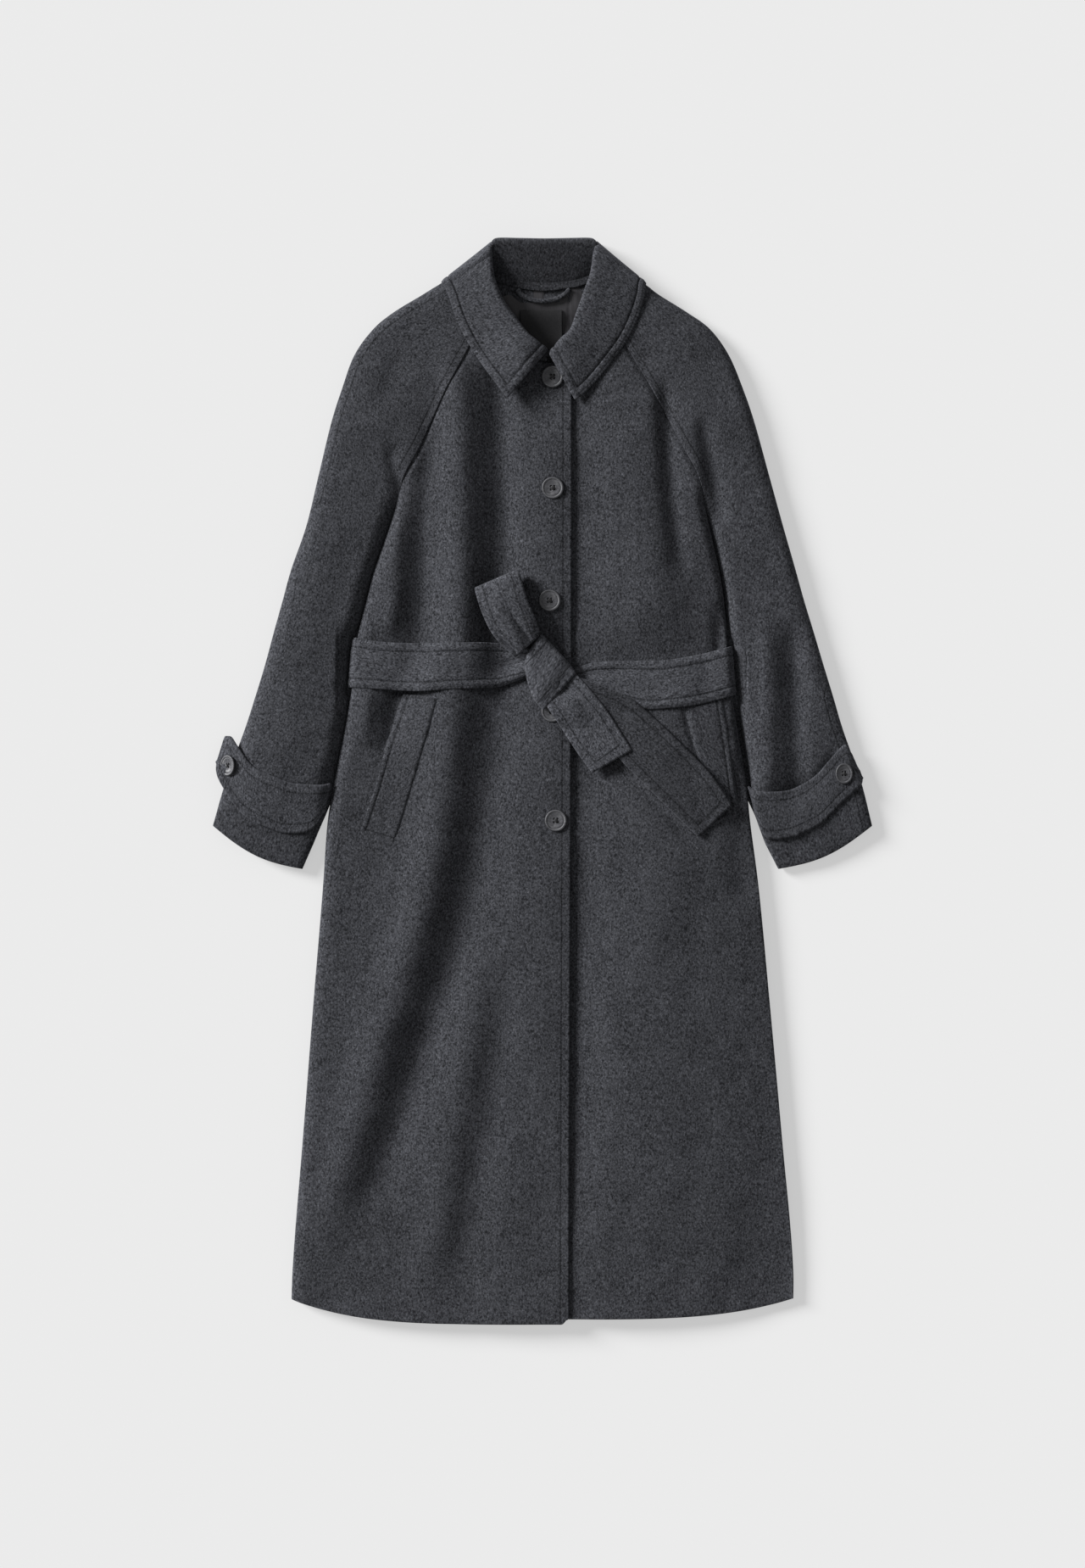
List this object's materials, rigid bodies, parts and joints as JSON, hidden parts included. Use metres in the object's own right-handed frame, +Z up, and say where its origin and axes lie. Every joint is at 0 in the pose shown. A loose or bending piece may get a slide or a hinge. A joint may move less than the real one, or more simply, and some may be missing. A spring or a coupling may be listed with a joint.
{
  "type": "long wool coat",
  "caption": "Long raglan-sleeved wool coat laid flat, with turned-down collar, front buttons, a tied cloth belt, slanted welt pockets and strapped cuffs.",
  "frame": {"origin": "on the surface the coat lies on, under the middle of its bounding box", "axes": "+Y from hem to collar, +X to the right seen from above, +Z up from the surface to the front of the coat"},
  "size_m": [0.7452, 1.2245, 0.0482],
  "materials": {
    "wool_cloth": "brushed melange wool, matt with a soft nap",
    "satin_lining": "dark satin",
    "woven_label": "plain woven, bare",
    "horn_button": "dark horn-like, half gloss"
  },
  "bodies": {
    "root": {"front_left": "wool_cloth", "front_right": "wool_cloth", "back": "wool_cloth", "sleeve_left_front": "wool_cloth", "sleeve_left_back": "wool_cloth", "sleeve_right_front": "wool_cloth", "sleeve_right_back": "wool_cloth", "collar_stand": "wool_cloth", "collar_fall": "wool_cloth", "neck_lining": "satin_lining", "neck_label": "woven_label", "hanger_loop": "satin_lining", "belt_band": "wool_cloth", "belt_knot": "wool_cloth", "belt_loop": "wool_cloth", "belt_end_short": "wool_cloth", "belt_end_long": "wool_cloth", "pocket_welt_left": "wool_cloth", "pocket_welt_right": "wool_cloth", "cuff_strap_left": "wool_cloth", "cuff_strap_right": "wool_cloth", "button_1": "horn_button", "button_2": "horn_button", "button_3": "horn_button", "button_4": "horn_button", "button_5": "horn_button", "cuff_button_left": "horn_button", "cuff_button_right": "horn_button"}
  },
  "joints": []
}
